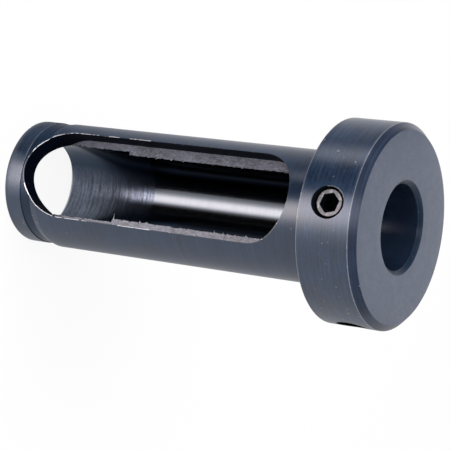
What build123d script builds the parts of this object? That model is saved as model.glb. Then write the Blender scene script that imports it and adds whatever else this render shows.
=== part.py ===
from build123d import *
from build123d.topology import SkipClean
from math import radians, tan
import os

# Tool holder bushing: a flanged steel sleeve that takes a round tool shank.
# Millimetres. The origin is the centre of the nose face. +Z runs along the bore
# to the head, and -Y points out of the milled window.

# Sleeve and head
sleeve_diameter = 40.0
head_diameter = 61.0
sleeve_length = 112.5  # nose face to the back of the head
head_thickness = 18.6
head_chamfer = 2.0  # front rim of the head
head_back_break = 0.4  # sharp edge taken off the back rim
shoulder_relief_width = 2.0  # grinding relief in the corner of sleeve and head
shoulder_relief_depth = 0.3  # below the sleeve
shoulder_relief_reach = 1.0  # out along the back of the head
shoulder_relief_cut = 0.2  # into the back of the head
seat_length = 15.5  # round seat of the sleeve behind the head, a face of its own

# Bore
bore_diameter = 25.4
bore_mouth_chamfer = 1.3
rough_bore_diameter = 27.2  # wider rough-bored stretch behind the nose
rough_bore_depth = 36.0
rough_bore_exit_chamfer = 2.2

# Nose: rough-turned ring and neck, a little out of true with the ground sleeve
ring_offset = 0.33
ring_diameter = 39.3
ring_width = 6.0
ring_edge_break = 0.3
neck_diameter = 38.8
neck_ramp_start = 9.2  # height where the neck starts to widen to the sleeve
neck_ramp_end = 12.0
exit_offset = 0.5  # of the chamfer where the rough bore comes out

# Window: flat-bottomed slot with full round ends, milled into the bore
window_width = 27.7
window_start = 6.6  # end of the slot nearer the nose
window_end = 102.7
window_floor = 7.2  # height of the flat floor above the bore axis

# Clamp screws, modelled plain at the pitch diameter of their thread
screw_diameter = 9.0
screw_clearance = 0.05  # radial, between screw and tapped hole
screw_length = 16.0
screw_recess = 1.2  # outer end below the rim of the head
screw_height = 9.1  # screw axis above the back of the head
screw_turn = 4.7  # degrees from the middle of the window to the first screw
screw_spacing = 90.0  # degrees from one screw to the other
screw_end_chamfer = 0.65
socket_across_flats = 5.0
socket_turn = 44.0  # degrees, as the screws happen to stand
socket_depth = 5.0
socket_lead_in = 0.3
drill_point_angle = 118.0  # left by the drill below the socket
cup_diameter = 5.6  # cupped inner end that bites on the tool
cup_depth = 1.2
hole_lead_in = 0.55  # countersink of the tapped hole at the rim

# Sizes that follow from those above
sleeve_radius = sleeve_diameter / 2
head_radius = head_diameter / 2
bore_radius = bore_diameter / 2
rough_bore_radius = rough_bore_diameter / 2
ring_radius = ring_diameter / 2
neck_radius = neck_diameter / 2
screw_radius = screw_diameter / 2
hole_radius = screw_radius + screw_clearance
seat_start = sleeve_length - seat_length
overall_length = sleeve_length + head_thickness
screw_level = sleeve_length + screw_height
past = 1.0  # how far a cutter runs on into open space


def turned(points):
    """A solid of revolution about +Z from a closed outline of radius, height.

    The outline lies towards -Y, so the seam of the sleeve falls in the window.
    """
    outline = make_face(Polyline(*[(0, -r, z) for r, z in points], close=True))
    return revolve(outline, axis=Axis.Z)


def sleeve_blank():
    """The ground sleeve from the nose's neck up to the seat behind the head."""
    return turned([
        (0, neck_ramp_start),
        (neck_radius - ring_offset, neck_ramp_start),
        (sleeve_radius, neck_ramp_end),
        (sleeve_radius, seat_start),
        (0, seat_start),
    ])


def head_blank():
    """The head with its ground seat, ending in a relief in the corner."""
    relief_radius = sleeve_radius - shoulder_relief_depth
    return turned([
        (0, seat_start),
        (sleeve_radius, seat_start),
        (sleeve_radius, sleeve_length - shoulder_relief_width),
        (relief_radius, sleeve_length - shoulder_relief_width),
        (relief_radius, sleeve_length + shoulder_relief_cut),
        (sleeve_radius + shoulder_relief_reach, sleeve_length + shoulder_relief_cut),
        (sleeve_radius + shoulder_relief_reach, sleeve_length),
        (head_radius - head_back_break, sleeve_length),
        (head_radius, sleeve_length + head_back_break),
        (head_radius, overall_length - head_chamfer),
        (head_radius - head_chamfer, overall_length),
        (0, overall_length),
    ])


def nose_blank():
    """The ring and neck at the nose, turned slightly off the sleeve's axis."""
    nose = turned([
        (0, 0),
        (ring_radius - ring_edge_break, 0),
        (ring_radius, ring_edge_break),
        (ring_radius, ring_width),
        (neck_radius, ring_width),
        (neck_radius, neck_ramp_end),
        (0, neck_ramp_end),
    ])
    return Pos(-ring_offset, 0, 0) * nose


def bore_cutter():
    """The ground bore with its mouth chamfer and the wider bore at the nose."""
    true_bore = turned([
        (0, rough_bore_depth - past),
        (bore_radius, rough_bore_depth - past),
        (bore_radius, overall_length - bore_mouth_chamfer),
        (bore_radius + bore_mouth_chamfer + past, overall_length + past),
        (0, overall_length + past),
    ])
    rough_bore = Pos(0, 0, rough_bore_depth / 2) * Cylinder(
        rough_bore_radius, rough_bore_depth
    )
    exit_radius = rough_bore_radius + rough_bore_exit_chamfer
    exit_chamfer = turned([
        (0, -past),
        (exit_radius + past, -past),
        (rough_bore_radius, rough_bore_exit_chamfer),
        (0, rough_bore_exit_chamfer),
    ])
    return true_bore + rough_bore + Pos(-exit_offset, 0, 0) * exit_chamfer


def window_cutter():
    """The slot cutter's sweep, from outside the sleeve down to the flat floor."""
    length = window_end - window_start
    height = (window_start + window_end) / 2
    floor = Plane(
        origin=(0, -window_floor, height), x_dir=(0, 0, 1), z_dir=(0, -1, 0)
    )
    slot = floor * SlotOverall(length, window_width)
    return extrude(slot, sleeve_radius - window_floor + past)


def screw_frame(number):
    """Location on the bore axis, with its local +Z out along screw `number`."""
    turn = screw_turn + number * screw_spacing
    return Pos(0, 0, screw_level) * Rot(0, 0, turn) * Rot(90, 0, 0)


def tapped_hole(number):
    """A hole from the bore to the rim, with a lead-in at the rim."""
    hole = Pos(0, 0, head_radius / 2) * Cylinder(hole_radius, head_radius)
    lead_in = turned([
        (0, head_radius - hole_lead_in),
        (hole_radius, head_radius - hole_lead_in),
        (hole_radius + hole_lead_in + past, head_radius + past),
        (0, head_radius + past),
    ])
    return screw_frame(number) * (hole + lead_in)


def clamp_screw(number):
    """A cup-point set screw with a hexagon socket, at its backed-off place."""
    outer_end = head_radius - screw_recess
    inner_end = outer_end - screw_length
    end_radius = screw_radius - screw_end_chamfer
    shank = turned([
        (0, inner_end),
        (end_radius, inner_end),
        (screw_radius, inner_end + screw_end_chamfer),
        (screw_radius, outer_end - screw_end_chamfer),
        (end_radius, outer_end),
        (0, outer_end),
    ])
    corner_radius = socket_across_flats / 3**0.5
    socket_floor = Plane.XY.offset(outer_end - socket_depth)
    hexagon = socket_floor * RegularPolygon(corner_radius, 6, rotation=socket_turn)
    socket = extrude(hexagon, socket_depth + past)
    point_depth = socket_across_flats / 2 / tan(radians(drill_point_angle / 2))
    drill_point = turned([
        (0, outer_end - socket_depth - point_depth),
        (socket_across_flats / 2, outer_end - socket_depth),
        (0, outer_end - socket_depth),
    ])
    lead_in = turned([
        (0, outer_end - socket_lead_in),
        (corner_radius - socket_lead_in, outer_end - socket_lead_in),
        (corner_radius + past, outer_end + past),
        (0, outer_end + past),
    ])
    cup = turned([
        (0, inner_end - past),
        (cup_diameter / 2, inner_end - past),
        (cup_diameter / 2, inner_end),
        (0, inner_end + cup_depth),
    ])
    return screw_frame(number) * (shank - socket - drill_point - lead_in - cup)


def bushing_body():
    """The turned body with its bore, window and tapped holes."""
    cutters = [bore_cutter(), window_cutter(), tapped_hole(0), tapped_hole(1)]
    with SkipClean():  # keeps the seat's face apart from the rest of the sleeve
        body = sleeve_blank() + head_blank() + nose_blank()
        for cutter in cutters:
            body -= cutter
    return body


parts = {
    "bushing_body": bushing_body(),
    "clamp_screw_front": clamp_screw(0),
    "clamp_screw_side": clamp_screw(1),
}

os.makedirs("parts", exist_ok=True)
for name, shape in parts.items():
    export_step(shape, f"parts/{name}.step")
    print(name, f"{shape.volume:.0f} mm3")
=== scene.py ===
import math
import random

import bmesh
import bpy
from mathutils import Matrix, Vector, noise


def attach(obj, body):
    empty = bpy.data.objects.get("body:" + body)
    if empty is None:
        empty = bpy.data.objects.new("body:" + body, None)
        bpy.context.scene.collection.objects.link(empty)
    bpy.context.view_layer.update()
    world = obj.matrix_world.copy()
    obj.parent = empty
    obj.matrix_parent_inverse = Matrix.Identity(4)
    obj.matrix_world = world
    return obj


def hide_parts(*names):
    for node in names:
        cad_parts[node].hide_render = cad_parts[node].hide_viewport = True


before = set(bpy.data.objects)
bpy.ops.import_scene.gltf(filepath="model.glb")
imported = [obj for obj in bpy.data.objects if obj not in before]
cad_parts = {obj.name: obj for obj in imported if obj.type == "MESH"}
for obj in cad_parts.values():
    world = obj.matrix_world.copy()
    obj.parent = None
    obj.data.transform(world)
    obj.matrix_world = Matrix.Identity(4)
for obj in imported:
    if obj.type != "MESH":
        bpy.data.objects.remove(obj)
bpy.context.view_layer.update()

mm = 0.001


# Meshes

meshRules = {
    "sharpAngle": 14,  # degrees, past which two faces meet in a sharp edge
    "roundingSteps": 3,
    "longEdge": 12,  # mm, longer straights of a spun outline are cut up
    "edgeStep": 4,
    "crestShare": 1 / 8,  # flat crest and root of a thread, as a share of its pitch
    "threadSteps": 48,
    "weld": 1e-6,  # metres
    "fineWeld": 1e-7,
}


def newObject(name, bm, materials=()):
    mesh = bpy.data.meshes.new(name)
    for material in materials:
        mesh.materials.append(material)
    obj = bpy.data.objects.new(name, mesh)
    bpy.context.scene.collection.objects.link(obj)
    setMesh(obj, bm)
    return obj


def setMesh(obj, bm):
    bmesh.ops.triangulate(bm, faces=[f for f in bm.faces if len(f.verts) > 4])
    for face in bm.faces:
        face.smooth = True
    bm.to_mesh(obj.data)
    bm.free()
    obj.data.set_sharp_from_angle(angle=math.radians(meshRules["sharpAngle"]))


def spunBody(outline, steps):  # outline: radius, height and rounding of each corner, mm
    m = meshRules
    bm = bmesh.new()
    corners = [bm.verts.new((r * mm, 0, z * mm)) for r, z, rounding in outline]
    bm.faces.new(corners)
    for size in sorted({rounding for r, z, rounding in outline if rounding}):
        picked = [v for v, (r, z, rounding) in zip(corners, outline) if rounding == size]
        bmesh.ops.bevel(bm, geom=picked, offset=size * mm, offset_type="OFFSET",
                        segments=m["roundingSteps"], profile=0.5, affect="VERTICES", material=-1)
    bmesh.ops.delete(bm, geom=bm.faces[:], context="FACES_ONLY")
    for edge in [e for e in bm.edges if e.calc_length() > m["longEdge"] * mm]:
        cuts = int(edge.calc_length() / (m["edgeStep"] * mm))
        bmesh.ops.subdivide_edges(bm, edges=[edge], cuts=cuts)
    bmesh.ops.spin(bm, geom=bm.verts[:] + bm.edges[:], cent=(0, 0, 0), axis=(0, 0, 1),
                   angle=math.tau, steps=steps, use_merge=True, use_duplicate=False)
    bmesh.ops.remove_doubles(bm, verts=bm.verts, dist=m["fineWeld"])
    bmesh.ops.recalc_face_normals(bm, faces=bm.faces)
    return bm


def threadedRod(core, crest, pitch, low, high):  # a closed rod with a helical thread, mm
    m = meshRules
    steps = m["threadSteps"]
    bm = bmesh.new()
    flat = pitch * m["crestShare"]
    flank = (pitch - 2 * flat) / 2
    heights = [0, flat / 2, flat / 2 + flank, flat * 1.5 + flank, flat * 1.5 + 2 * flank, pitch]
    radii = [core, core, crest, crest, core, core]
    start = low - 2 * pitch
    chain = [bm.verts.new((r * mm, 0, (start + h) * mm)) for r, h in zip(radii, heights)]
    for a, b in zip(chain, chain[1:]):
        bm.edges.new((a, b))
    turns = math.ceil((high - low) / pitch) + 3  # runs past both ends, which are cut off below
    bmesh.ops.spin(bm, geom=bm.verts[:] + bm.edges[:], cent=(0, 0, 0), axis=(0, 0, 1),
                   dvec=(0, 0, pitch * mm / steps), angle=math.tau * turns, steps=steps * turns,
                   use_merge=False, use_duplicate=False)
    bmesh.ops.remove_doubles(bm, verts=bm.verts, dist=m["weld"])
    for height, side in ((low, -1), (high, 1)):
        bmesh.ops.bisect_plane(bm, geom=bm.verts[:] + bm.edges[:] + bm.faces[:],
                               dist=m["fineWeld"], plane_co=(0, 0, height * mm),
                               plane_no=(0, 0, side), clear_outer=True)
        rim = [e for e in bm.edges if e.is_boundary
               and all(abs(v.co.z - height * mm) < m["weld"] for v in e.verts)]
        bmesh.ops.edgeloop_fill(bm, edges=rim)
    bmesh.ops.recalc_face_normals(bm, faces=bm.faces)
    return bm


def cone(low, high, lowRadius, highRadius, segments=64, turn=0.0):  # along +Z, mm
    bm = bmesh.new()
    middle = Matrix.Translation((0, 0, (low + high) / 2 * mm))
    bmesh.ops.create_cone(bm, cap_ends=True, segments=segments, radius1=lowRadius * mm,
                          radius2=highRadius * mm, depth=(high - low) * mm,
                          matrix=middle @ Matrix.Rotation(math.radians(turn), 4, "Z"))
    return bm


def cutAway(obj, cutters):  # the cut shape of the object, to go on with
    for cutter in cutters:
        cut = obj.modifiers.new("cut", "BOOLEAN")
        cut.operation = "DIFFERENCE"
        cut.solver = "EXACT"
        cut.object = cutter
    bpy.context.view_layer.update()
    cutObject = obj.evaluated_get(bpy.context.evaluated_depsgraph_get())
    cutMesh = bpy.data.meshes.new_from_object(cutObject)
    obj.modifiers.clear()
    bm = bmesh.new()
    bm.from_mesh(cutMesh)
    for used in [cutMesh] + [cutter.data for cutter in cutters]:
        bpy.data.meshes.remove(used)
    bmesh.ops.remove_doubles(bm, verts=bm.verts, dist=2 * meshRules["weld"])
    bmesh.ops.dissolve_degenerate(bm, edges=bm.edges, dist=meshRules["weld"])
    bm.normal_update()
    return bm


# Shading

class Value:  # a shader socket that adds Math nodes when it is used in a sum
    def __init__(self, graph, socket):
        self.graph = graph
        self.socket = socket

    def maths(self, operation, first, second):
        return self.graph.add("ShaderNodeMath", {"operation": operation}, {0: first, 1: second})

    def __add__(self, other):
        return self.maths("ADD", self, other)

    def __radd__(self, other):
        return self.maths("ADD", other, self)

    def __sub__(self, other):
        return self.maths("SUBTRACT", self, other)

    def __rsub__(self, other):
        return self.maths("SUBTRACT", other, self)

    def __mul__(self, other):
        return self.maths("MULTIPLY", self, other)

    def __rmul__(self, other):
        return self.maths("MULTIPLY", other, self)

    def __truediv__(self, other):
        return self.maths("DIVIDE", self, other)

    def between(self, low, high):  # 0 below low, 1 above high
        return self.graph.add("ShaderNodeMapRange", {"clamp": True},
                              {"Value": self, "From Min": low, "From Max": high})


class Graph:  # builds a node tree
    def __init__(self, tree):
        self.tree = tree
        tree.nodes.clear()

    def add(self, kind, settings=None, sockets=None, output=0):
        node = self.tree.nodes.new(kind)
        for name, setting in (settings or {}).items():
            if name == "stops":
                while len(node.color_ramp.elements) < len(setting):
                    node.color_ramp.elements.new(1)
                for element, (place, colour) in zip(node.color_ramp.elements, setting):
                    element.position = place
                    element.color = (*colour, 1)
            else:
                setattr(node, name, setting)
        for name, item in (sockets or {}).items():
            if isinstance(item, Value):
                self.tree.links.new(item.socket, node.inputs[name])
            elif isinstance(item, tuple) and len(item) == 3 and node.inputs[name].type == "RGBA":
                node.inputs[name].default_value = (*item, 1)
            else:
                node.inputs[name].default_value = item
        return Value(self, node.outputs[output]) if node.outputs else node

    def mix(self, factor, first, second):  # colours
        return self.add("ShaderNodeMix", {"data_type": "RGBA"}, {0: factor, 6: first, 7: second}, 2)

    def scaled(self, vector, factors):
        return self.add("ShaderNodeVectorMath", {"operation": "MULTIPLY"}, {0: vector, 1: factors})

    def speckle(self, vector, scale, detail, roughness):
        return self.add("ShaderNodeTexNoise", None, {
            "Vector": vector, "Scale": scale, "Detail": detail, "Roughness": roughness})

    def axis(self, vector, number):  # 0, 1 or 2 for x, y or z
        return self.add("ShaderNodeSeparateXYZ", None, {0: vector}, number)


plainSteel = {  # black oxide, no metal itself, which nicks and streaks cut through to bare steel
    "colour": (0.012, 0.028, 0.064), "shades": (0.3, 1.7),  # darkest and lightest, times the colour
    "bare": (0.39, 0.39, 0.43), "metal": 0.0, "ior": 1.67,
    "roughness": 0.36, "patina": 0.1, "anisotropic": 0.95, "grainTurn": 0.25,
    "markNoise": (1.0, 4.0, 0.7),  # scale, detail and roughness, as of each noise below
    "lay": (25, 25, 2400), "marks": 0.8, "markHeight": 3e-6,  # tool marks, drawn out along the lay
    "streaks": 0.06, "streakRange": (0.5, 0.85),
    "cloudNoise": (110.0, 5.0, 0.6), "cloud": 0.8,
    "grainScale": 1500.0, "grainDetail": (2.0, 0.5), "grain": 0.3, "grainHeight": 2e-6,
    "nickScale": 650.0, "nickDetail": (2.0, 0.6), "nicks": 0.76, "nickEdge": 0.04,
    "nickTone": 0.6, "nickDepth": 1e-5,
    "patchNoise": (45.0, 2.0, 0.5), "patchPull": 0.35,  # nicks come in patches
    "shadeFade": None,  # metres along Y, from where the bore is painted dark as shade to where it keeps its own colour
}
steelLooks = {  # what each finish has of its own
    "groundSteel": {},
    "turnedSteel": {
        "cloud": 1.3, "patina": 0.2, "marks": 1.2, "markHeight": 5e-6, "lay": (70, 70, 1700),
        "grain": 0.7, "grainHeight": 5e-6, "streaks": 0.07, "nicks": 0.73},
    "chamferSteel": {"colour": (0.015, 0.024, 0.048), "ior": 1.42, "marks": 1.2, "streaks": 0.02},
    "mouthEdge": {"colour": (0.008, 0.017, 0.034), "ior": 1.27, "marks": 1.2, "streaks": 0.02},
    "neckSteel": {
        "colour": (0.008, 0.02, 0.045), "ior": 1.35, "marks": 1.2, "markHeight": 8e-6,
        "streaks": 0.02},
    "facedSteel": {
        "colour": (0.06, 0.072, 0.107), "ior": 1.5, "roughness": 0.5, "anisotropic": 0.0,
        "lay": (400, 400, 400), "marks": 0.25, "cloud": 0.2, "grain": 0.35, "grainHeight": 5e-6,
        "nicks": 0.8},
    "brokenEdge": {"colour": (0.12, 0.13, 0.16), "marks": 0.8, "nickScale": 900.0, "nicks": 0.62},
    # painted shade: the window's walls are near black and reflect almost nothing, standing in for
    # the shade inside the window
    "shadedWallSteel": {
        "colour": (0.001, 0.002, 0.005), "ior": 1.08, "roughness": 0.6, "anisotropic": 0.0,
        "streaks": 0.0, "lay": (900, 900, 60), "marks": 0.5, "markHeight": 2e-6},
    "ledgeSteel": {
        "colour": (0.124, 0.128, 0.17), "bare": (0.6, 0.6, 0.62), "ior": 1.6, "roughness": 0.5,
        "anisotropic": 0.0, "lay": (1500, 1500, 600), "marks": 1.8, "markHeight": 4e-5,
        "cloud": 1.4, "grainScale": 1900.0, "grain": 1.2, "grainHeight": 2e-5,
        "nickScale": 1500.0, "nicks": 0.69},
    "honedSteel": {
        "colour": (0.109, 0.119, 0.138), "metal": 1.0, "shadeFade": (0.0089, 0.0112),
        "shadeColour": (0.012, 0.018, 0.028), "roughness": 0.15, "patina": 0.04, "anisotropic": 0.6,
        "streaks": 0.0, "marks": 0.2, "cloud": 0.1, "grain": 0.1, "lay": (15, 15, 1800),
        "markHeight": 5e-7, "grainHeight": 3e-7, "nickScale": 900.0, "nicks": 0.82},
    # painted shade: the bore past the window's end and on its near side is darker and reflects
    # less, standing in for the shade deep in the bore
    "shadedBoreSteel": {
        "colour": (0.009, 0.016, 0.033), "ior": 1.36, "roughness": 0.2, "patina": 0.04,
        "anisotropic": 0.75, "lay": (15, 15, 1800), "marks": 0.3, "markHeight": 5e-7,
        "cloud": 0.6, "nicks": 0.85, "streaks": 0.0},
    "boredSteel": {
        "colour": (0.085, 0.098, 0.13), "metal": 1.0, "shadeFade": (0.0095, 0.0128),
        "shadeColour": (0.03, 0.045, 0.07), "roughness": 0.2, "anisotropic": 0.9, "streaks": 0.0,
        "lay": (90, 90, 1400), "marks": 2.0, "markHeight": 2.2e-5, "grain": 0.6,
        "grainHeight": 8e-6, "nicks": 0.78},
    # painted shade: threads, tapped holes and the screws' sockets are near black and reflect almost
    # nothing, standing in for the shade in these hollows
    "shadedThreadSteel": {
        "colour": (0.003, 0.004, 0.005), "ior": 1.05, "roughness": 0.6, "streaks": 0.0,
        "anisotropic": 0.0, "lay": (200, 200, 200)},
    "dullEdge": {
        "colour": (0.03, 0.04, 0.06), "roughness": 0.35, "anisotropic": 0.0,
        "lay": (900, 900, 900), "cloud": 1.2, "nickScale": 800.0, "nicks": 0.66, "nickTone": 1.0},
    "wornEdge": {
        "colour": (0.04, 0.05, 0.07), "bare": (0.72, 0.72, 0.76), "metal": -0.7,
        "roughness": 0.45, "anisotropic": 0.0, "lay": (900, 900, 900), "cloud": 1.2,
        "marks": 1.2, "grain": 0.4, "nickScale": 800.0, "nicks": 0.4, "nickTone": 1.0},
    "screwSteel": {
        "colour": (0.085, 0.085, 0.095), "bare": (0.22, 0.22, 0.24), "metal": 1.0,
        "roughness": 0.5, "anisotropic": 0.0, "lay": (700, 700, 700), "cloud": 0.9,
        "marks": 0.9, "markHeight": 1e-5, "grain": 0.5, "nickScale": 900.0, "nicks": 0.62},
}


def steel(name, look):
    material = bpy.data.materials.new(name)
    material.use_nodes = True
    g = Graph(material.node_tree)
    place = g.add("ShaderNodeTexCoord", None, None, "Object")
    marks = g.speckle(g.scaled(place, look["lay"]), *look["markNoise"])
    cloud = g.speckle(place, *look["cloudNoise"])
    grain = g.speckle(place, look["grainScale"], *look["grainDetail"])
    tone = ((cloud - 0.5) * look["cloud"] + (marks - 0.5) * look["marks"]
            + (grain - 0.5) * look["grain"])
    dark, light = (tuple(c * shade for c in look["colour"]) for shade in look["shades"])
    colour = g.mix((tone + 0.5).between(0.0, 1.0), dark, light)
    patches = g.speckle(place, *look["patchNoise"])
    dents = (g.speckle(place, look["nickScale"], *look["nickDetail"])
             + (patches - 0.5) * look["patchPull"])
    nicks = dents.between(look["nicks"], look["nicks"] + look["nickEdge"])
    bare = nicks * look["nickTone"] + marks.between(*look["streakRange"]) * look["streaks"]
    colour = g.mix(bare, colour, look["bare"])
    if look["shadeFade"]:  # painted shade: the bore wall is painted darker the further it lies from +Y
        shadeFade = g.axis(place, 1).between(*look["shadeFade"])
        colour = g.mix(shadeFade, look["shadeColour"], colour)
    height = marks * look["markHeight"] + grain * look["grainHeight"] - nicks * look["nickDepth"]
    bumped = g.add("ShaderNodeBump", None, {"Strength": 1.0, "Distance": 1.0, "Height": height})
    shine = g.add("ShaderNodeBsdfPrincipled", None, {
        "Base Color": colour, "Metallic": (bare + look["metal"]).between(0.0, 1.0),
        "Roughness": (cloud - 0.5) * look["patina"] + look["roughness"], "IOR": look["ior"],
        "Anisotropic": look["anisotropic"], "Anisotropic Rotation": look["grainTurn"],
        "Normal": bumped})
    g.add("ShaderNodeOutputMaterial", None, {"Surface": shine})
    return material


steels = {name: steel(name, {**plainSteel, **look}) for name, look in steelLooks.items()}
print("materials made")


# Bushing body

bodySize = {  # mm, as in the solid
    "sleeve": 20.0, "head": 30.5, "sleeveLength": 112.5, "length": 131.1,  # radii and lengths
    "headChamfer": 2.0, "headBreak": 0.4,
    "reliefWidth": 2.0, "reliefDepth": 0.3, "reliefReach": 1.0, "reliefCut": 0.2,
    "ring": 19.65, "ringWidth": 6.0, "ringShift": 0.33,
    "neck": 19.4, "neckEnd": 10.2, "rampEnd": 12.0, "rampTilt": 1.0,
    "bore": 12.7, "mouthChamfer": 1.3, "roughBore": 13.6, "roughDepth": 36.0,
    "exit": 15.8, "exitDepth": 2.2, "exitShift": 0.5,
    "windowHalf": 13.85, "windowLow": 6.6, "windowHigh": 102.7, "windowFloor": 7.2,
    "skin": 17.0,  # between the bores' radius and that of the outer surfaces
    "margin": 0.5,  # kept clear of what is next to it
    "steps": 256, "windowSteps": 160, "cutterLength": 20.0,
    "rounding": 0.1, "ringRounding": 0.3, "rimRounding": 0.15, "faceRounding": 0.12,
    "windowEdge": 0.25, "windowEdgeSteps": 2,
    "windowEdgeAngle": 25,  # degrees, between the faces that meet there
    "wornFrom": 7.5, "wornTo": 44.0, "wornPatches": 40.0, "patchScale": 0.9,
    "ragged": 0.5, "raggedStep": 0.45, "tearScales": (900, 2600),
    "ledgeEdge": 11.8, "ledgeAlong": 0.8,  # share of an edge that runs along the bore
}
screwSize = {  # mm
    "level": 121.6, "turn": 4.7, "spacing": 90.0,
    "hole": 4.55, "holeMajor": 5.0, "holeFrom": 2.0, "leadIn": 0.55, "pitch": 1.5,
    "radius": 4.5, "root": 4.12, "recess": 1.2, "length": 16.0, "chamfer": 0.65,
    "acrossFlats": 5.0, "socketTurn": 44.0, "socketDepth": 5.0, "socketBreak": 0.22,
    "pointDepth": 1.45, "cup": 2.8, "cupDepth": 1.2, "cupRun": 0.4, "roundSteps": 48,
    "endInset": 0.02,
}
faceTests = {  # how a face is told apart, by its normal and by distances in mm
    "flat": 0.98, "upright": 0.03, "inward": -0.5, "straightIn": -0.95,
    "chamferTilt": (0.3, 0.9), "wallInset": (0.02, 0.01), "rimInset": 0.03,
    "holeReach": 0.3, "wallFrom": 11.0, "honedPast": 3.0, "neckShort": 0.8,
    "highlightSide": (-0.76, 0.65), "highlightShare": 0.6,  # which part of a hole's lead-in gets the lighter edge finish, a painted highlight
}
past = 1.0  # mm, how far a cutter runs on into open space
near = 0.05  # mm, within which a face counts as being in a plane


def screwMatrix(number):  # local +Z points out along the screw
    turn = math.radians(screwSize["turn"] + number * screwSize["spacing"])
    return (Matrix.Translation((0, 0, screwSize["level"] * mm)) @ Matrix.Rotation(turn, 4, "Z")
            @ Matrix.Rotation(math.radians(90), 4, "X"))


def holeCutters(number):
    s = screwSize
    head = bodySize["head"]
    thread = threadedRod(s["hole"], s["holeMajor"], s["pitch"], s["holeFrom"], head + past)
    leadIn = cone(head - s["leadIn"], head + past, s["hole"], s["hole"] + s["leadIn"] + past)
    for bm in (thread, leadIn):
        bmesh.ops.transform(bm, matrix=screwMatrix(number), verts=bm.verts)
    return [newObject("thread", thread), newObject("leadIn", leadIn)]


def windowCutter():
    b = bodySize
    bm = bmesh.new()
    halfStep = math.pi / b["windowSteps"]
    bmesh.ops.create_circle(bm, cap_ends=True, segments=b["windowSteps"],
                            radius=b["windowHalf"] * mm,
                            matrix=Matrix.Rotation(math.radians(90), 4, "X")
                            @ Matrix.Rotation(halfStep, 4, "Z"))
    reach = (b["windowHigh"] - b["windowLow"]) / 2 - b["windowHalf"]
    for v in bm.verts:  # drawn out from a circle to the slot
        v.co.z += math.copysign(reach * mm, v.co.z)
    middle = (b["windowHigh"] + b["windowLow"]) / 2
    bmesh.ops.translate(bm, verts=bm.verts, vec=(0, -b["windowFloor"] * mm, middle * mm))
    walls = bmesh.ops.extrude_face_region(bm, geom=bm.faces[:])
    bmesh.ops.translate(bm, verts=[v for v in walls["geom"] if isinstance(v, bmesh.types.BMVert)],
                        vec=(0, -b["cutterLength"] * mm, 0))
    bmesh.ops.recalc_face_normals(bm, faces=bm.faces)
    return newObject("window", bm)


def holeFinish(c, r):  # the finish in a tapped hole, or None elsewhere
    s = screwSize
    t = faceTests
    head = bodySize["head"]
    acrossShare, alongShare = t["highlightSide"]
    for number in range(2):
        local = screwMatrix(number).inverted() @ (c * mm) / mm
        fromAxis = math.hypot(local.x, local.y)
        inReach = fromAxis < s["holeMajor"] + t["holeReach"] and local.z > t["wallFrom"]
        if inReach and r < head - t["rimInset"]:
            onLeadIn = fromAxis > s["hole"] + near and r > head - s["leadIn"] - near
            # painted highlight: one side of the lead-in gets the lighter edge finish
            towards = local.x * acrossShare + local.y * alongShare
            worn = towards > t["highlightShare"] * fromAxis
            return "brokenEdge" if worn and onLeadIn else "shadedThreadSteel"
    return None


def windowFinish(c, n, r, outward):  # the finish in the window, or None elsewhere
    b = bodySize
    t = faceTests
    inSlot = b["windowLow"] - 2 * near < c.z < b["windowHigh"] + 2 * near
    if not inSlot or c.y > near - b["windowFloor"]:
        return None
    if abs(n.y) > t["flat"] and abs(c.y + b["windowFloor"]) < near:
        return "ledgeSteel"
    fromBore, fromSleeve = t["wallInset"]
    inWall = b["bore"] + fromBore < r < b["sleeve"] - fromSleeve
    if abs(n.y) < t["upright"] and inWall and outward > t["straightIn"]:
        return "shadedWallSteel"
    return None


def bodyFinish(face):  # which finish a face of the body has
    b = bodySize
    t = faceTests
    c = face.calc_center_median() / mm
    n = face.normal
    r = math.hypot(c.x, c.y)
    outward = (n.x * c.x + n.y * c.y) / r
    inBore = r < b["skin"] - 1
    inHole = holeFinish(c, r)
    if inHole:
        return inHole
    leastTilt, mostTilt = t["chamferTilt"]
    if c.z > b["length"] - b["mouthChamfer"] and leastTilt < n.z < mostTilt and inBore:
        return "mouthEdge"
    inWindow = windowFinish(c, n, r, outward)
    if inWindow:
        return inWindow
    if outward < t["inward"] and inBore:
        if c.z < b["roughDepth"]:
            return "boredSteel"
        # the bore wall opposite the window, up to just past its end, is honed; the rest of the bore
        # gets the darker finish of painted shade
        return "honedSteel" if c.z < b["windowHigh"] + t["honedPast"] and c.y > 0 else "shadedBoreSteel"
    brightCorners = (  # radius, height and reach
        (b["head"] - b["headBreak"] / 2, b["sleeveLength"] + b["headBreak"] / 2, 0.3),
        (b["head"], b["length"] - b["headChamfer"], 0.16),
        (b["ring"], b["ringWidth"], 0.12),
        (b["ring"], 0, 0.32))
    for radius, height, reach in brightCorners:
        if abs(r - radius) < reach and abs(c.z - height) < reach:
            return "brokenEdge"
    if c.z > b["length"] - near and n.z > mostTilt:
        return "facedSteel"
    if c.z > b["length"] - b["headChamfer"]:
        return "chamferSteel"
    if b["ringWidth"] - near < c.z < b["neckEnd"] - t["neckShort"] and r > b["skin"]:
        return "neckSteel"
    if c.z > b["sleeveLength"] - b["margin"] or c.z < b["rampEnd"] and not inBore:
        return "turnedSteel"
    return "boredSteel" if inBore else "groundSteel"


def isLedgeEdge(edge, ledge):  # the long inner edges of the two ledges
    kinds = [f.material_index for f in edge.link_faces]
    rise = abs(edge.verts[0].co.z - edge.verts[1].co.z)
    along = rise > bodySize["ledgeAlong"] * edge.calc_length()
    inner = abs(edge.verts[0].co.x) < bodySize["ledgeEdge"] * mm
    return len(kinds) == 2 and kinds.count(ledge) == 1 and along and inner


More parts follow.
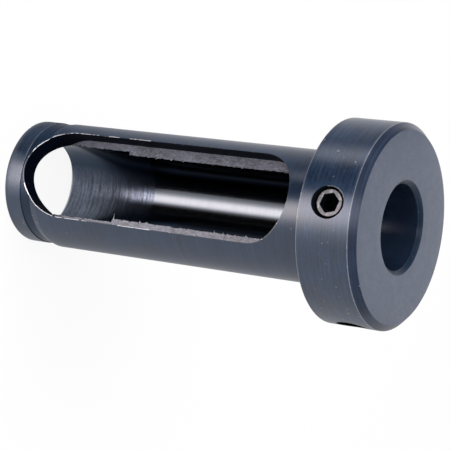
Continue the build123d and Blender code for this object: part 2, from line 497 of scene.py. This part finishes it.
def roughenLedges(bm, ledge):  # the cutter tore the thin inner edges
    b = bodySize
    for edge in [edge for edge in bm.edges if isLedgeEdge(edge, ledge)]:
        cuts = int(edge.calc_length() / (b["raggedStep"] * mm))
        if cuts:
            bmesh.ops.subdivide_edges(bm, edges=[edge], cuts=cuts)
    coarse, fine = b["tearScales"]
    for v in {v for edge in bm.edges if isLedgeEdge(edge, ledge) for v in edge.verts}:
        tear = (noise.noise(Vector((v.co.x, 0, v.co.z)) * coarse)
                + noise.noise(Vector((v.co.x, 5, v.co.z)) * fine))
        v.co.x += math.copysign(tear * b["ragged"] * mm, v.co.x)


burrs = {  # mm, slivers left by the cutter on the edges of the window
    "seed": 4, "pairs": 26, "sides": 5, "taper": 0.3, "sunk": 0.4, "outward": -0.5,
    "tallest": (10.6, -7.3, 36.6, 1.9, 0.13, -1, 0.25),  # place, length, thickness, side and lean
    "onLedge": {
        "x": 10.55, "y": -7.25, "z": (40, 95), "length": (0.3, 0.7), "thickness": (0.04, 0.09)},
    "onEdge": {
        "x": 13.8, "y": -14.2, "z": (14, 60), "length": (0.15, 0.4), "thickness": (0.03, 0.07)},
}


def addBurrs(bm, material):
    dice = random.Random(burrs["seed"])
    made = [burrs["tallest"]]
    for i in range(burrs["pairs"]):
        side = dice.choice((-1, 1))
        for kind, leans in ((burrs["onLedge"], -side), (burrs["onEdge"], side)):
            made.append((side * kind["x"], kind["y"], dice.uniform(*kind["z"]),
                         dice.uniform(*kind["length"]), dice.uniform(*kind["thickness"]), leans,
                         dice.uniform(-1, 1)))
    for x, y, z, length, thickness, side, lean in made:
        way = Vector((side, burrs["outward"], lean)).normalized()
        foot = Matrix.Translation(Vector((x, y, z)) * mm + way * length * burrs["sunk"] * mm)
        sliver = bmesh.ops.create_cone(
            bm, cap_ends=True, segments=burrs["sides"], radius1=thickness * mm,
            radius2=thickness * burrs["taper"] * mm, depth=length * mm,
            matrix=foot @ way.to_track_quat("Z", "Y").to_matrix().to_4x4())
        for face in {f for v in sliver["verts"] for f in v.link_faces}:
            face.material_index = material


def bodyOutline():  # radius, height and rounding of each corner, mm
    b = bodySize
    relief = b["sleeve"] - b["reliefDepth"]
    reliefReach = b["sleeve"] + b["reliefReach"]
    reliefTop = b["sleeveLength"] + b["reliefCut"]
    reliefStart = b["sleeveLength"] - b["reliefWidth"]
    return [
        (b["exit"], 0, b["rounding"]),
        (b["ring"], 0, b["ringRounding"]),
        (b["ring"], b["ringWidth"], b["rounding"]),
        (b["neck"], b["ringWidth"], 0),
        (b["neck"], b["neckEnd"], 0),
        (b["sleeve"], b["rampEnd"], b["rounding"]),
        (b["sleeve"], reliefStart, 0),
        (relief, reliefStart, 0),
        (relief, reliefTop, 0),
        (reliefReach, reliefTop, 0),
        (reliefReach, b["sleeveLength"], 0),
        (b["head"] - b["headBreak"], b["sleeveLength"], b["rounding"]),
        (b["head"], b["sleeveLength"] + b["headBreak"], b["rounding"]),
        (b["head"], b["length"] - b["headChamfer"], b["rimRounding"]),
        (b["head"] - b["headChamfer"], b["length"], b["faceRounding"]),
        (b["bore"] + b["mouthChamfer"], b["length"], b["faceRounding"]),
        (b["bore"], b["length"] - b["mouthChamfer"], b["rounding"]),
        (b["bore"], b["roughDepth"], 0),
        (b["roughBore"], b["roughDepth"], 0),
        (b["roughBore"], b["exitDepth"], b["rounding"]),
    ]


def shiftNose(bm):  # the nose was turned a little off the sleeve's axis
    b = bodySize
    for v in bm.verts:
        r = math.hypot(v.co.x, v.co.y) / mm
        z = v.co.z / mm
        if r > b["skin"] and z < b["neckEnd"] + b["margin"]:
            if z > b["ringWidth"] + 2 * b["margin"]:
                v.co.z -= b["rampTilt"] * v.co.x / r
            v.co.x -= b["ringShift"] * mm
        elif z < b["margin"]:
            v.co.x -= b["exitShift"] * mm


def breakWindowEdge(bm, wall, worn, dull):
    b = bodySize
    sharp = math.radians(b["windowEdgeAngle"])
    rim = []
    for edge in bm.edges:
        if len(edge.link_faces) == 2 and edge.calc_face_angle(0) > sharp:
            middle = (edge.verts[0].co + edge.verts[1].co) / 2 / mm
            onWall = [f.material_index for f in edge.link_faces].count(wall) == 1
            if onWall and math.hypot(middle.x, middle.y) > b["skin"] + b["margin"]:
                rim.append(edge)
    made = bmesh.ops.bevel(bm, geom=rim, offset=b["windowEdge"] * mm, offset_type="OFFSET",
                           segments=b["windowEdgeSteps"], profile=0.5, affect="EDGES",
                           material=-1, clamp_overlap=False)
    for face in made["faces"]:  # worn bright near the nose, in patches further up
        c = face.calc_center_median() / mm
        end = b["wornTo"] + noise.noise(c * b["patchScale"]) * b["wornPatches"]
        face.material_index = worn if b["wornFrom"] < c.z < end else dull


def makeBody():
    finishes = list(steelLooks)
    wall, ledge, worn, dull = (finishes.index(name)
                               for name in ("shadedWallSteel", "ledgeSteel", "wornEdge", "dullEdge"))
    bm = spunBody(bodyOutline(), bodySize["steps"])
    shiftNose(bm)
    body = newObject("bushingBody", bm, [steels[name] for name in finishes])
    bm = cutAway(body, [windowCutter()] + holeCutters(0) + holeCutters(1))
    for face in bm.faces:
        face.material_index = finishes.index(bodyFinish(face))
    breakWindowEdge(bm, wall, worn, dull)
    roughenLedges(bm, ledge)
    addBurrs(bm, worn)
    openEdges = sum(1 for e in bm.edges if len(e.link_faces) != 2)
    print("body faces", len(bm.faces), "open edges", openEdges)
    setMesh(body, bm)
    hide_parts("bushing_body")
    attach(body, "bushing")


makeBody()
print("body made")


# Clamp screws

def chamferEnds(bm, low, top):
    s = screwSize
    for v in bm.verts:
        r = math.hypot(v.co.x, v.co.y)
        fromEnd = max(min(top * mm - v.co.z, v.co.z - low * mm), 0)
        most = (s["radius"] - s["chamfer"]) * mm + fromEnd
        if r > most:
            v.co.x *= most / r
            v.co.y *= most / r


def socketCutters(low, top):  # the hexagon socket with its broken edge and drill point, and the cup
    s = screwSize
    corner = s["acrossFlats"] / math.sqrt(3)
    floor = top - s["socketDepth"]
    sides = 6
    hexTurn = s["socketTurn"] - 180 / sides  # degrees, as a cone starts with a corner on Y
    cones = {
        "socket": cone(floor, top + past, corner, corner, sides, hexTurn),
        "socketBreak": cone(top - s["socketBreak"], top + past, corner,
                            corner + past + s["socketBreak"], sides, hexTurn),
        "drillPoint": cone(floor - s["pointDepth"], floor + near, 0.0, s["acrossFlats"] / 2,
                           s["roundSteps"]),
        "cup": cone(low - s["cupRun"] * s["cupDepth"], low + s["cupDepth"],
                    s["cup"] * (1 + s["cupRun"]), 0.0, s["roundSteps"]),
    }
    return [newObject(name, bm) for name, bm in cones.items()]


def makeScrew(number, name, node, bodyName):
    s = screwSize
    top = bodySize["head"] - s["recess"]
    low = top - s["length"]
    bm = threadedRod(s["root"], s["radius"], s["pitch"], low, top)
    chamferEnds(bm, low, top)
    screw = newObject(name, bm, [steels["screwSteel"], steels["shadedThreadSteel"]])
    bm = cutAway(screw, socketCutters(low, top))
    for face in bm.faces:  # worn bare on its outer end alone; the thread and the socket get the near-black finish, painted shade
        c = face.calc_center_median() / mm
        endRadius = s["radius"] - s["chamfer"] + s["endInset"]
        onEnd = c.z > top - near and math.hypot(c.x, c.y) < endRadius
        face.material_index = 0 if onEnd else 1
    bmesh.ops.transform(bm, matrix=screwMatrix(number), verts=bm.verts)
    setMesh(screw, bm)
    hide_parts(node)
    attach(screw, bodyName)


makeScrew(0, "clampScrewFront", "clamp_screw_front", "front_screw")
makeScrew(1, "clampScrewSide", "clamp_screw_side", "side_screw")
print("screws made")


# Studio

studio = {
    "lens": 138.13,  # mm
    "sensor": 36,
    "target": (0.00584, 0.0013, 0.07154),
    "distance": 0.53011,
    "azimuth": 12.548,  # degrees round from the front of the window
    "elevation": 31.092,
    "roll": 97.62,  # the part stands on its nose, and the picture shows it lying
    "clip": (0.01, 50),
    "floorSize": 3,
    "floorColour": (0.8, 0.8, 0.8),
    "floorRoughness": 0.9,
    "floorWhite": 0.9,  # how far the floor is lifted to white where it is looked at
    "skyStrength": 0.75,
    "softboxPower": 9.0,
    "softboxSize": 0.7,
    "softboxPlace": (-35, 62),  # azimuth and elevation
    "softboxDistance": 1.0,
    "softboxAim": (0, 0, 0.07),
}
tent = {
    "outline": ((0.0206, 0.0004), (0.028, 0.0006), (0.05, 0.06), (0.05, 0.36)),  # radius, height
    "steps": 180,
    "warmth": (0.0, 0.11, 0.16),  # red, green and blue that the brightest cloth lacks
    "cloths": (  # height where each begins, then its brightness by azimuth in degrees
        ((0.0, 0.0), {  # by the foot
            -180: 0.9, -110: 0.9, -80: 0.4, -40: 0.15, -18: 0.1, -8: 1.7, 0: 4.3, 12: 4.9,
            24: 2.0, 34: 1.0, 150: 1.0, 180: 0.9}),
        ((0.0006, 0.004), {  # round the sleeve
            -180: 1.4, -140: 1.6, -117: 1.3, -98: 0.8, -80: 0.5, -62: 0.14, -50: 0.03, -34: 0.02,
            -25: 0.0, -16: 0.0, -9: 0.9, -3: 4.6, 3: 7.2, 14: 7.2, 20: 5.0, 26: 2.4, 34: 1.1,
            45: 0.9, 84: 0.8, 110: 0.75, 125: 0.8, 150: 1.0, 180: 1.4}),
        ((0.086, 0.098), {  # round the head
            -180: 1.3, -125: 1.75, -103: 1.3, -94: 1.05, -85: 0.95, -77: 0.65, -69: 0.5,
            -60: 0.35, -53: 0.3, -46: 1.2, -41: 2.3, -35: 1.7, -30: 0.1, -24: 0.0, -11: 0.0,
            -7: 0.2, -2: 2.8, 3: 5.6, 8: 6.8, 13: 5.8, 19: 3.2, 25: 1.6, 34: 1.0, 75: 0.95,
            107: 0.9, 125: 0.8, 143: 0.85, 180: 1.3}),
        ((0.136, 0.144), {  # above the head, as the chamfer and the face see it
            -180: 1.0, -138: 1.0, -120: 0.0, -14: 0.0, -4: 2.5, 12: 2.5, 24: 0.3, 40: 0.0,
            95: 0.0, 115: 1.0, 180: 1.0})),
}


def direction(azimuth, elevation):
    a, e = math.radians(azimuth), math.radians(elevation)
    return Vector((math.sin(a) * math.cos(e), -math.cos(a) * math.cos(e), math.sin(e)))


def placeCamera():
    back = direction(studio["azimuth"], studio["elevation"])
    data = bpy.data.cameras.new("photoCamera")
    data.lens = studio["lens"]
    data.sensor_width = studio["sensor"]
    data.clip_start, data.clip_end = studio["clip"]
    camera = bpy.data.objects.new("photoCamera", data)
    bpy.context.scene.collection.objects.link(camera)
    camera.rotation_mode = "QUATERNION"
    camera.location = Vector(studio["target"]) + back * studio["distance"]
    level = (-back).to_track_quat("-Z", "Y")
    roll = Matrix.Rotation(math.radians(studio["roll"]), 4, "Z").to_quaternion()
    camera.rotation_quaternion = level @ roll
    bpy.context.scene.camera = camera


def placeSoftbox():
    data = bpy.data.lights.new("softbox", "AREA")
    data.shape = "SQUARE"
    data.size = studio["softboxSize"]
    data.energy = studio["softboxPower"]
    lamp = bpy.data.objects.new("softbox", data)
    bpy.context.scene.collection.objects.link(lamp)
    towards = direction(*studio["softboxPlace"])
    lamp.location = Vector(studio["softboxAim"]) + towards * studio["softboxDistance"]
    lamp.rotation_mode = "QUATERNION"
    lamp.rotation_quaternion = (-towards).to_track_quat("-Z", "Y")
    lamp.visible_glossy = False  # reflections show the tent instead


def seenWhite(g):  # 1 where a surface is looked at, straight or in a reflection
    camera, glossy, through = (g.add("ShaderNodeLightPath", None, None, "Is %s Ray" % kind)
                               for kind in ("Camera", "Glossy", "Transmission"))
    return (camera + glossy + through).between(0.0, 1.0)


def paintWorld():
    world = bpy.data.worlds.new("studio")
    bpy.context.scene.world = world
    world.use_nodes = True
    g = Graph(world.node_tree)
    level = seenWhite(g) * (1.0 - studio["skyStrength"]) + studio["skyStrength"]
    sky = g.add("ShaderNodeBackground", None, {"Color": (1.0, 1.0, 1.0), "Strength": level})
    g.add("ShaderNodeOutputWorld", None, {"Surface": sky})


def layFloor():
    bm = bmesh.new()
    bmesh.ops.create_grid(bm, x_segments=1, y_segments=1, size=studio["floorSize"])
    material = bpy.data.materials.new("floorPaper")
    material.use_nodes = True
    g = Graph(material.node_tree)
    paper = g.add("ShaderNodeBsdfPrincipled", None, {
        "Base Color": studio["floorColour"], "Roughness": studio["floorRoughness"],
        "Specular IOR Level": 0.0})
    white = g.add("ShaderNodeEmission", None, {"Color": (1.0, 1.0, 1.0), "Strength": 1.0})
    lifted = g.add("ShaderNodeMixShader", None,
                   {0: seenWhite(g) * studio["floorWhite"], 1: paper, 2: white})
    g.add("ShaderNodeOutputMaterial", None, {"Surface": lifted})
    newObject("floor", bm, [material])


def tentCloth():
    material = bpy.data.materials.new("tentCloth")
    material.use_nodes = True
    g = Graph(material.node_tree)
    place = g.add("ShaderNodeTexCoord", None, None, "Object")
    x, y, z = (g.axis(place, number) for number in range(3))
    turn = g.add("ShaderNodeMath", {"operation": "ARCTAN2"}, {0: x, 1: y * -1.0}) / math.tau + 0.5
    brightest = max(max(levels.values()) for begins, levels in tent["cloths"])
    cloth = (0.0, 0.0, 0.0)
    for begins, levels in tent["cloths"]:
        stops = []
        for azimuth, level in levels.items():
            share = level / brightest
            colour = tuple(share * (1 - lack * share) for lack in tent["warmth"])
            stops.append(((azimuth + 180) / 360, colour))
        ramp = g.add("ShaderNodeValToRGB", {"stops": stops}, {"Fac": turn})
        cloth = g.mix(z.between(*begins), cloth, ramp) if begins[1] else ramp
    glow = g.add("ShaderNodeEmission", None, {"Color": cloth, "Strength": brightest})
    g.add("ShaderNodeOutputMaterial", None, {"Surface": glow})
    return material


def hangTent():  # a light tent that only reflections show, with the studio's lamps and dark cards
    bm = bmesh.new()
    chain = [bm.verts.new((r, 0, z)) for r, z in tent["outline"]]
    for low, high in zip(chain, chain[1:]):
        bm.edges.new((low, high))
    bmesh.ops.spin(bm, geom=bm.verts[:] + bm.edges[:], cent=(0, 0, 0), axis=(0, 0, 1),
                   angle=math.tau, steps=tent["steps"], use_merge=True, use_duplicate=False)
    hung = newObject("tent", bm, [tentCloth()])
    hung.visible_camera = False
    hung.visible_diffuse = False
    hung.visible_shadow = False
    hung.visible_transmission = False


placeCamera()
placeSoftbox()
paintWorld()
layFloor()
hangTent()
bpy.context.scene.view_settings.view_transform = "Standard"
print("studio set")
